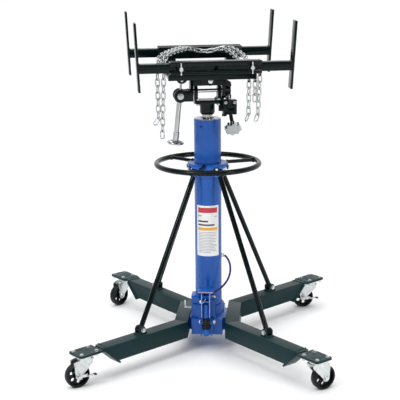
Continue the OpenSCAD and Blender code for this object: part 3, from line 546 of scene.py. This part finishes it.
def refine(node, width=0.8, material=None, segments=2, limit=32):
    """A copy of a CAD solid whose edges are rounded; it stands for the node."""
    src = NODES[node]
    bm = bmesh.new()
    bm.from_mesh(src.data)
    bmesh.ops.remove_doubles(bm, verts=bm.verts, dist=2e-6)
    bmesh.ops.dissolve_limit(bm, angle_limit=math.radians(0.6), verts=bm.verts, edges=bm.edges)
    mesh = bpy.data.meshes.new(node + "_shape")
    bm.to_mesh(mesh)
    bm.free()
    obj = bpy.data.objects.new(node + "_shape", mesh)
    bpy.context.scene.collection.objects.link(obj)
    mod = obj.modifiers.new("edge", "BEVEL")
    mod.width = width * MM
    mod.segments = segments
    mod.limit_method = "ANGLE"
    mod.angle_limit = math.radians(limit)
    mod.harden_normals = False
    dg = bpy.context.evaluated_depsgraph_get()
    made = bpy.data.meshes.new_from_object(obj.evaluated_get(dg))
    obj.modifiers.clear()
    obj.data = made
    made.shade_smooth()
    made.set_sharp_from_angle(angle=math.radians(limit))
    mat = material or SLOT_MAT[slot_of(node)]
    made.materials.clear()
    made.materials.append(MAT[mat])
    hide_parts(node)
    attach(obj, BODY_OF[node])
    return obj


def slot_of(node):
    for sub in frame["record"]["subparts"]:
        if sub["node"] == node:
            return sub["material_slot"]
    raise KeyError(node)


# ---------- pieces ----------

def column():
    """The blue tube with rounded ends, and the rim of its vent hole with a black disc of painted
    shade over its mouth.
    """
    bm = bmesh.new()
    r, top, foot, bore = COLUMN_R, COLUMN_TOP, COLUMN_FOOT, COLUMN_R - COLUMN_WALL
    hole_z = top - 24
    lathe(bm, [(r, foot), (r, hole_z - 5), (r, hole_z + 5), (r, top - 0.8), (r - 0.8, top),
               (bore + 0.5, top), (bore, top - 0.5), (bore, foot), (r, foot)], n=160)
    vent = mm(0, 0, hole_z) @ R("Z", -114) @ R("Y", 90) @ mm(0, 0, r)
    lathe(bm, [(3.9, 0.45), (3.9, 0.1), (4.9, 0.02), (5.1, -0.6), (3.9, -3), (3.9, 0.45)],
          vent, 0, 20)
    # A black disc over the hole's mouth: painted shade for the inside of the tube.
    lathe(bm, [(0, 0.25), (4.0, 0.32)], vent, 1, 20)
    finish_piece(bm, "column_tube_shape", "frame", ["blue", "dark"], stands_for=["column_tube"])


def ring_handle():
    """The ring and its three spokes, with a fillet weld at both ends of each spoke."""
    bm = bmesh.new()
    z = 713
    torus(bm, 193, 10, mm(0, 0, z), 0, 160, 28)
    for k in range(3):
        m = R("Z", 23 + 120 * k) @ mm(0, 0, z) @ R("Y", 90)
        rod(bm, 7, 76.7, 190, m, 0, 0.2)
        lathe(bm, [(7, 176), (9.0, 181), (10.5, 185), (7, 188), (7, 176)], m, 0, 28)
        lathe(bm, [(7, 82), (8.6, 79.5), (10.2, 77), (7, 76.8), (7, 82)], m, 0, 28)
    finish_piece(bm, "ring_handle_shape", "frame", ["black"], stands_for=["ring_handle"])


def stays():
    """Four inclined rods, each with an eye and a weld fillet at both ends."""
    length = math.hypot(STAY_RUN, STAY_DROP)
    lean = R("Y", -math.degrees(math.atan2(STAY_RUN, STAY_DROP)))
    bm = bmesh.new()
    for sx, sy in CORNERS:
        foot = at_stay_foot(sx, sy)
        lathe(bm, [(STAY_R, 11), (STAY_R, length - 11)], foot @ lean, 0, 40)
        for x, z, far in ((0, 0, False), (-STAY_RUN, STAY_DROP, True)):
            eye = foot @ mm(x, 0, z) @ R("X", 90)
            lathe(bm, [(EYE_BORE, -EYE_HALF), (EYE_R - 0.8, -EYE_HALF), (EYE_R, 0.8 - EYE_HALF),
                       (EYE_R, EYE_HALF - 0.8), (EYE_R - 0.8, EYE_HALF), (EYE_BORE, EYE_HALF),
                       (EYE_BORE, -EYE_HALF)], eye, 0, 40)
            near = length - 9.5 if far else 9.5
            way = -1 if far else 1
            lathe(bm, [(EYE_R, near), (STAY_R, near + way * 5.5)], foot @ lean, 0, 24)
    finish_piece(bm, "column_stays_shape", "frame", ["black"], stands_for=["column_stays"])


def collar_lugs():
    """Black clamp lugs on the collar's rim, each with a plated nut."""
    bm = bmesh.new()
    for az in (-150, -104, -62, -8, 34, 82, 128, 172):
        m = R("Z", az)
        box(bm, (74.5, -9, 694), (79.5, 9, 709), m, 1, 1.2)
        out = m @ mm(79.3, 0, 702) @ R("Y", 90)
        rod(bm, 5.6, 0, 0.8, out, 0, 0.2, 24)
        hex_head(bm, 5.0, 0.8, 4.6, out)
    finish_piece(bm, "collar_lugs", "frame", ["zinc", "black"])


def frame_bolts():
    """A bolt, two washers and a nut through each end of each stay."""
    bm = bmesh.new()
    for sx, sy in CORNERS:
        for x, z in ((0, 0), (-STAY_RUN, STAY_DROP)):
            m = at_stay_foot(sx, sy) @ mm(x, 15, z) @ R("X", 90)
            hex_head(bm, 9.05, -6, -1.2, m)
            rod(bm, 9.4, -1.2, 0, m, 0, 0.3)
            rod(bm, 4.9, 0, 38, m, 0, 0.8, 20)
            rod(bm, 9.4, 30, 31.2, m, 0, 0.3)
            hex_head(bm, 9.05, 31.2, 36, m)
    finish_piece(bm, "frame_bolts_shape", "frame", ["zinc"], stands_for=["frame_bolts"])


def caster_bolts():
    """Four bolts with washer and nut through each caster plate."""
    bm = bmesh.new()
    for sx, sy in CORNERS:
        for su, sv in CORNERS:
            m = at_leg(sx, sy) @ mm(PLATE_ALONG + su * BOLT_U, sv * BOLT_V, LEG_TOP)
            rod(bm, 7.6, 0, 0.9, m, 0, 0.3)
            hex_head(bm, 6.4, 0.9, 4.6, m)
            lathe(bm, [(3.8, 4.5), (3.6, 5.2), (0, 5.3)], m, 0, 20)
            rod(bm, 4, -19, 1, m, 0, 0.5, 16)
            hex_head(bm, 7.4, -17.5, -11, m)
    finish_piece(bm, "caster_bolts_shape", "frame", ["zinc"], stands_for=["caster_bolts"])


def at_wheel_hole(k):
    return R("Z", 360 / HOLE_COUNT * k) @ mm(HOLE_RING, 0, 0)


def wheel_core():
    """The wheel's core about Z, with a thin web that six round holes go through."""
    bm = bmesh.new()
    web = WEB_HALF
    core = [(5.05, -15.6), (11, -15.6), (12, -14.6), (12.6, -6), (14, -web), (33, -web),
            (34.2, -6), (35, -11.5), (36, -12), (36, 12), (35, 11.5), (34.2, 6), (33, web),
            (14, web), (12.6, 6), (12, 14.6), (11, 15.6), (5.05, 15.6), (5.05, -15.6)]
    lathe(bm, core, n=72)
    body = bpy.data.meshes.new("core")
    bmesh.ops.recalc_face_normals(bm, faces=bm.faces)
    bm.to_mesh(body)
    bm.free()
    obj = bpy.data.objects.new("core", body)
    bm = bmesh.new()
    for k in range(HOLE_COUNT):
        rod(bm, HOLE_R, -20, 20, at_wheel_hole(k), 0, 0.1, 28)
    holes = bpy.data.meshes.new("holes")
    bmesh.ops.recalc_face_normals(bm, faces=bm.faces)
    bm.to_mesh(holes)
    bm.free()
    cutter = bpy.data.objects.new("holes", holes)
    for o in (obj, cutter):
        bpy.context.scene.collection.objects.link(o)
    mod = obj.modifiers.new("cut", "BOOLEAN")
    mod.operation, mod.object, mod.solver = "DIFFERENCE", cutter, "EXACT"
    dg = bpy.context.evaluated_depsgraph_get()
    made = bpy.data.meshes.new_from_object(obj.evaluated_get(dg))
    for o in (obj, cutter):
        bpy.data.objects.remove(o)
    return made


def wheels():
    """A wheel for each caster: the core, a raised lip round each hole, and the tread."""
    core = wheel_core()
    tread = [(36, -11.2), (36.6, -13.2), (38.6, -14.4), (41.0, -14.6), (42.8, -12.6),
             (43.9, -10.8), (44.35, -8), (44.5, 0), (44.35, 8), (43.9, 10.8), (42.8, 12.6),
             (41.0, 14.6), (38.6, 14.4), (36.6, 13.2), (36, 11.2), (36, -11.2)]
    for key in CASTERS:
        m = at_caster(key) @ mm(TRAIL, 0, WHEEL_R) @ R("X", 90) @ R("Z", WHEEL_PHASE)
        bm = bmesh.new()
        bm.from_mesh(core)
        for f in bm.faces:
            f.material_index = 1
        for k in range(HOLE_COUNT):
            for s in (-1, 1):
                lathe(bm, [(6.9, s * 2), (8.3, s * 3.1), (8.0, s * 4.2), (7.2, s * 4.5),
                           (6.9, s * 4), (6.9, s * 2)], at_wheel_hole(k), 1, 28)
        lathe(bm, tread, I4, 0, 96)
        bmesh.ops.transform(bm, matrix=m, verts=bm.verts)
        node = "caster_wheel_" + key
        finish_piece(bm, node + "_shape", BODY_OF[node], ["rubber", "core"], stands_for=[node])


def brake_levers():
    """Side brake levers with a bent tab and a dark tip."""
    for key in ("fl", "rr"):
        bm = bmesh.new()
        m = at_caster(key) @ mm(TRAIL, 0, WHEEL_R)
        y = 19.8
        rod(bm, 12, y, y + 4, m @ R("X", -90), 0, 0.8, 40)
        box(bm, (-30, y, -5), (-4, y + 4, 5), m, 0, 1.2)
        box(bm, (-52, y, -2), (-28, y + 13, 2), m, 0, 1.2)
        box(bm, (-62, y, -2), (-50, y + 13, 2), m, 1, 1.2)
        node = "brake_lever_" + key
        finish_piece(bm, node + "_shape", BODY_OF[node], ["zinc", "core"], stands_for=[node])


def gland_and_ram():
    """The nut in the column's mouth with its seal and spanner holes drawn as black discs of painted
    shade, and the polished ram.
    """
    bm = bmesh.new()
    lathe(bm, [(46.9, 858), (46.9, 883), (49.0, 883), (49.5, 883.5), (49.5, 885), (48.5, 886),
               (27, 886), (26.5, 885.2), (24.5, 885.2), (24.5, 880), (19.7, 880), (19.7, 858),
               (46.9, 858)], I4, 0, 96)
    lathe(bm, [(24.4, 881), (24.4, 885.4), (22.5, 885.9), (20.4, 885.9), (19.6, 884.6),
               (19.6, 881), (24.4, 881)], I4, 1, 96)
    # Spanner holes drawn only as black discs: painted shade.
    for k in range(4):
        lathe(bm, [(0, 886.03), (2.4, 886.0)], R("Z", 45 + 90 * k) @ mm(38, 0, 0), 2, 20)
    finish_piece(bm, "gland_nut_shape", "frame", ["steel", "rubber", "dark"],
                 stands_for=["gland_nut"])
    bm = bmesh.new()
    lathe(bm, [(24.9, 120), (24.9, 149), (24, 150), (19.5, 150), (19.5, 934), (18.5, 935)],
          I4, 0, 96)
    finish_piece(bm, "ram_shape", "lift", ["ram"], stands_for=["ram"])


def label():
    """Wrapped film with a plain header band, a bar and ruled lines; no lettering."""
    bm = bmesh.new()
    centre, half, lift = -88, 52, 7
    z0, z1 = 355, 552

    def patch(a0, a1, low, high, mat, r):
        n = max(2, int((a1 - a0) / 2.5))
        rows = [[bm.verts.new((r * math.cos(math.radians(a)), r * math.sin(math.radians(a)),
                               z + lift))
                 for a in (a0 + (a1 - a0) * k / n for k in range(n + 1))] for z in (low, high)]
        for k in range(n):
            f = bm.faces.new([rows[0][k], rows[0][k + 1], rows[1][k + 1], rows[1][k]])
            f.material_index = mat

    patch(centre - half, centre + half, z0, z1, 0, 51.3)
    left, right = centre - half + 8, centre + half - 8
    patch(left, right, 524, 544, 1, 51.45)
    patch(left, right, 456, 467, 2, 51.45)
    patch(left, left + 18, 510, 514, 3, 51.45)
    patch(right - 16, right, 508, 511, 3, 51.45)
    patch(left, left + 46, 488, 494, 4, 51.45)
    patch(left, left + 74, 474, 480, 4, 51.45)
    # Ruled lines, each ending a few degrees short of the margin
    for k, short in enumerate((0, 7, 3, 16, 2, 9, 5, 20, 4, 1, 12, 6, 3, 30)):
        patch(left + 2, right - 2 - short, 447 - 6 * k, 449.2 - 6 * k, 3, 51.45)
    finish_piece(bm, "label_plate_shape", "frame", ["label", "label_red", "label_amber",
                                                   "label_grey", "label_black"],
                 stands_for=["label_plate"])


def hose():
    """The pressure hose from the column's port to the pump, with its two fittings."""
    a, b, c, d, end = [Vector(p) for p in HOSE]
    pts = []
    for k in range(37):
        t = k / 36
        pts.append(a * (1 - t) ** 3 + b * 3 * t * (1 - t) ** 2 + c * 3 * t * t * (1 - t)
                   + d * t ** 3)
    pts += [d.lerp(end, 0.5), end]
    bm = bmesh.new()
    sweep(bm, pts, 4, I4, 0, 24)
    obj = finish_piece(bm, "hose_line", "frame", ["hose"], stands_for=["hose"])
    bm = bmesh.new()
    side = mm(*COLUMN_PORT) @ R("Y", 90)
    hex_head(bm, 9, 50.2, 56, side)
    lathe(bm, [(6.5, 55), (6.5, 57.2), (5.9, 57.8), (6.5, 58.4), (6.5, 60), (5.6, 62), (4.3, 62)],
          side, 0, 32)
    foot = mm(*PUMP_PORT)
    hex_head(bm, 9, 205, 209, foot)
    lathe(bm, [(6.5, 208), (6.5, 210), (5.9, 210.5), (6.5, 211), (6.5, 212), (5.4, 213),
               (4.3, 213)], foot, 0, 32)
    finish_piece(bm, "hose_fittings_shape", "frame", ["zinc"], stands_for=["hose_fittings"])


def threads(r, z0, z1, pitch, depth):
    """Profile of a screw's crests and roots."""
    pts = [(0, z0), (r - depth, z0)]
    z = z0 + pitch * 0.4
    while z + pitch * 0.6 < z1:
        pts += [(r - depth, z), (r, z + pitch * 0.22), (r, z + pitch * 0.38),
                (r - depth, z + pitch * 0.6)]
        z += pitch
    return pts + [(r - depth, z1), (0, z1)]


def side_screw():
    """The side adjuster: its tube, its handwheel and the threaded stud."""
    bm = bmesh.new()
    lathe(bm, [(9.3, -162), (9.3, -24), (11.4, -24), (12, -23.4), (12, -17), (11.2, -16.3),
               (6.5, -16.3), (6.5, -100), (0, -100)], I4, 0, 64)
    lathe(bm, [(6, -170), (10.6, -170), (11.5, -169), (11.5, -148), (10.9, -147.4),
               (11.5, -146.8), (11.5, -139), (10.5, -138), (9.3, -138)], I4, 0, 64)
    finish_piece(bm, "adjuster_tube_shape", "side_adjuster", ["ram"],
                 at=SIDE_LINE, stands_for=["adjuster_tube"])
    bm = bmesh.new()
    m = mm(0, 0, -179)
    torus(bm, 27.5, 4.5, m, 0, 72, 20)
    lathe(bm, [(0, -5), (10.5, -5), (12, -3.5), (12, 7.5), (10.5, 9), (5.9, 9), (5.9, 20)],
          m, 0, 48)
    for k in range(3):
        sweep(bm, [(9 + 17 * j / 6, 0, 0.8 * math.sin(math.pi * j / 6)) for j in range(7)], 3.4,
              m @ R("Z", 30 + 120 * k), 0, 14)
    finish_piece(bm, "handwheel_shape", "side_adjuster", ["ram"], at=SIDE_LINE,
                 stands_for=["handwheel"])
    bm = bmesh.new()
    lathe(bm, threads(4.5, -42, 48, 2.2, 0.5), I4, 0, 24)
    eye = mm(0, 0, math.hypot(STUD_RUN, STUD_RISE)) @ R("X", 90)
    rod(bm, 10, -7, 7, eye, 0, 1.2, 40)
    rod(bm, 5, -21, 21, eye, 0, 0.8, 24)
    finish_piece(bm, "adjuster_stud_shape", "stud", ["zinc"], at=SIDE_LINE,
                 stands_for=["adjuster_stud"])


def knob_outline(lobes=8, ring=25, lobe_r=6.5, hub_r=26.0, count=192):
    """A disc with round lobes spaced evenly round its rim."""
    outline, pitch = [], 2 * math.pi / lobes
    for k in range(count):
        a = 2 * math.pi * k / count
        off = (a + pitch / 2) % pitch - pitch / 2
        inside = lobe_r ** 2 - (ring * math.sin(off)) ** 2
        lobe = ring * math.cos(off) + math.sqrt(inside) if inside > 0 else 0
        r = max(hub_r, lobe)
        outline.append((r * math.cos(a), r * math.sin(a)))
    return outline


def knob_screw():
    """The star knob with its frosted front face, and its threaded screw."""
    bm = bmesh.new()
    outline = knob_outline()
    prism(bm, outline, -12, 4, I4, 0, 1.6, 3)
    prism(bm, [(0.93 * x, 0.93 * y) for x, y in outline], -14.4, -12, I4, 1, 0.9, 2)
    lathe(bm, [(13, 3.6), (12, 5.5), (11, 7), (7.4, 7), (7.4, 4)], I4, 0, 40)
    finish_piece(bm, "star_knob_shape", "knob_screw", ["chrome", "frosted"], at=KNOB_LINE,
                 stands_for=["star_knob"])
    bm = bmesh.new()
    lathe(bm, threads(7, 6, 127.5, 4, 0.9), I4, 0, 32)
    rod(bm, 4.4, 127, 137.5, I4, 0, 0.5, 24)
    finish_piece(bm, "tilt_screw_shape", "knob_screw", ["black"], at=KNOB_LINE,
                 stands_for=["tilt_screw"])


def head_fittings():
    """Pins, bolts and caps on the two yokes."""
    bm = bmesh.new()
    m = mm(0, 0, SHAFT_Z) @ R("Y", 90)
    lathe(bm, [(0, -76), (9, -76), (10, -75), (10, -72), (9, -71), (7, -71), (7, 72.2),
               (6.2, 73), (0, 73)], m, 0, 64)
    finish_piece(bm, "tilt_shaft_shape", "swivel_head", ["chrome"], at=HEAD,
                 stands_for=["tilt_shaft"])
    bm = bmesh.new()
    m = mm(ROLL_X, 0, ROLL_Z) @ R("X", 90)
    rod(bm, 7, -40, 40, m, 0, 0.8)
    hex_head(bm, 9.5, 37, 43, m)
    lathe(bm, [(4, 43.0), (2.4, 43.6), (0, 43.6)], m, 0, 24)
    hex_head(bm, 9.5, -43, -37, m)
    finish_piece(bm, "roll_pin_shape", "tilt_frame", ["zinc"], at=TILTED,
                 stands_for=["roll_pin"])
    bm = bmesh.new()
    for x in (-38, 38):
        for y in (-23, 23):
            rod(bm, 8, 955, 956.2, mm(x, y, 0), 0, 0.3, 28)
            hex_head(bm, 7, 956.2, 961, mm(x, y, 0))
            rod(bm, 4.2, 936, 956, mm(x, y, 0), 0, 0.3, 20)
            hex_head(bm, 7, 935.5, 941, mm(x, y, 0))
    for x in (60, 94):
        m = mm(x, -54, 948) @ R("X", 90)
        rod(bm, 5.6, 0, 4.5, m, 0, 0.8, 28)
        # A black hexagon on each set screw's face: painted shade for its socket.
        lathe(bm, [(0, 4.56), (2.6, 4.53)], m, 1, 6)
        rod(bm, 3.5, -40, 0, m, 0, 0.3, 16)
    finish_piece(bm, "yoke_bolts", "swivel_head", ["zinc", "dark"], at=HEAD)


def tee_bolts():
    """A clamp bolt with a sliding tee bar for each arm."""
    bm = bmesh.new()
    for sy in (-1, 1):
        for x in (-CLAMP_X, CLAMP_X):
            m = mm(x, sy * RAIL_Y, RAIL_Z) @ R("X", 90 if sy < 0 else -90) @ mm(0, 0, 16.3)
            rod(bm, 4.4, 0, 14, m, 0, 0.4, 20)
            lathe(bm, [(5.4, 12), (7, 13.2), (7, 24.4), (5.6, 26), (0, 26)], m, 0, 32)
            bar = m @ mm(0, 0, 20) @ R("X", 90)
            lathe(bm, [(0, -21), (1.8, -20.8), (2.5, -20), (2.5, 20), (1.8, 20.8), (0, 21)],
                  bar, 0, 20)
            for z in (-19, 19):
                lathe(bm, [(0, z - 2), (2.4, z - 1.6), (3.1, z), (2.4, z + 1.6), (0, z + 2)],
                      bar, 0, 20)
    finish_piece(bm, "clamp_bolts_shape", "saddle", ["zinc"], at=TILTED,
                 stands_for=["clamp_bolts"])


def arm_welds():
    """Fillet welds where each arm meets its upright."""
    for fore, sy in (("front", -1), ("rear", 1)):
        for side, sx in (("left", -1), ("right", 1)):
            bm = bmesh.new()
            x = ARM_REACH - 4.6
            for z in (-16, 16):
                weld(bm, (x, -15, z), (x, 15, z), 2.6)
            for y in (-16, 16):
                weld(bm, (x, y, -15), (x, y, 15), 2.6)
            bmesh.ops.transform(bm, matrix=mm(0, sy * RAIL_Y, RAIL_Z) @ mirrored(sx, 1),
                                verts=bm.verts)
            node = fore + "_" + side + "_arm"
            finish_piece(bm, node + "_welds", BODY_OF[node], ["black"], at=TILTED)


def pedal_trim():
    """Pale strips on the front edges of the pedal's side plates and tread, standing for worn edges
    and for painted highlights, and the head of its cross pin.
    """
    bm = bmesh.new()
    for sx in (-1, 1):
        x = sx * PEDAL_HALF
        box(bm, (x - 1.2, -158.4, 154), (x + 1.2, -157.5, 249), I4, 0, 0.3)
    box(bm, (-28, -160.3, 251.2), (28, -159.6, 254), I4, 1, 0.3)
    finish_piece(bm, "pedal_edges", "pedal", ["worn_blue", "worn_and_highlit_pad"])
    bm = bmesh.new()
    m = mm(0, -148, 212) @ R("Y", 90)
    lathe(bm, [(4, -16.9), (6.6, -16.9), (6.9, -17.8), (6.9, -21), (5.6, -23.4), (3, -24.5),
               (0, -24.8)], m, 0, 32)
    cotter = [(-12, -153, 207), (-8, -154, 214), (-3, -154, 221), (0, -153, 225)]
    sweep(bm, cotter, 1.5, I4, 0, 12)
    finish_piece(bm, "pedal_cross_pin_head", "pedal", ["zinc"])


def leg_welds():
    """Beads where each leg meets its caster plate and round each stay bracket."""
    bm = bmesh.new()
    for sx, sy in CORNERS:
        m = at_leg(sx, sy)
        weld(bm, (373, -30, LEG_TOP + 0.3), (373, 30, LEG_TOP + 0.3), 2.2, m)
        for v in (-26.3, 26.3):
            weld(bm, (372, v, 118), (388, v, 119), 2.0, m)
        bracket = at_stay_foot(sx, sy)
        for u in (-20, 20):
            weld(bm, (u, -14, -17.3), (u, 14, -17.3), 1.8, bracket)
        for v in (-15, 15):
            weld(bm, (-19, v, -17.3), (19, v, -17.3), 1.8, bracket)
    finish_piece(bm, "leg_welds", "frame", ["slate"])


make_camera()
make_materials()
make_stage()
column()
ring_handle()
stays()
collar_lugs()
frame_bolts()
caster_bolts()
wheels()
brake_levers()
gland_and_ram()
label()
hose()
side_screw()
knob_screw()
head_fittings()
tee_bolts()
arm_welds()
leg_welds()
pedal_trim()
for key in CASTERS:
    refine("caster_fork_" + key, 0.9)
refine("caster_top_plates", 0.8)
refine("caster_plates", 1.2)
refine("screw_trunnion", 0.8, "steel")
refine("screw_rod_end", 0.8)
refine("release_lever", 0.6)
refine("pedal_pin", 0.6)
refine("pump_plunger", 1.0)
for node in ("left_cross_beam", "right_cross_beam", "front_left_leg", "front_right_leg",
             "rear_left_leg", "rear_right_leg"):
    refine(node, 1.6, segments=3)
for node in ("base_block", "column_collar", "pump_body", "foot_pedal", "lower_yoke",
             "screw_nut_block", "tilt_yoke", "saddle_plate", "front_sleeve", "rear_sleeve",
             "front_left_arm", "front_right_arm", "rear_left_arm", "rear_right_arm"):
    refine(node, 1.0)
for name, obj in NODES.items():
    obj.data.materials.clear()
    obj.data.materials.append(MAT["chain" if "chain" in name else SLOT_MAT[slot_of(name)]])
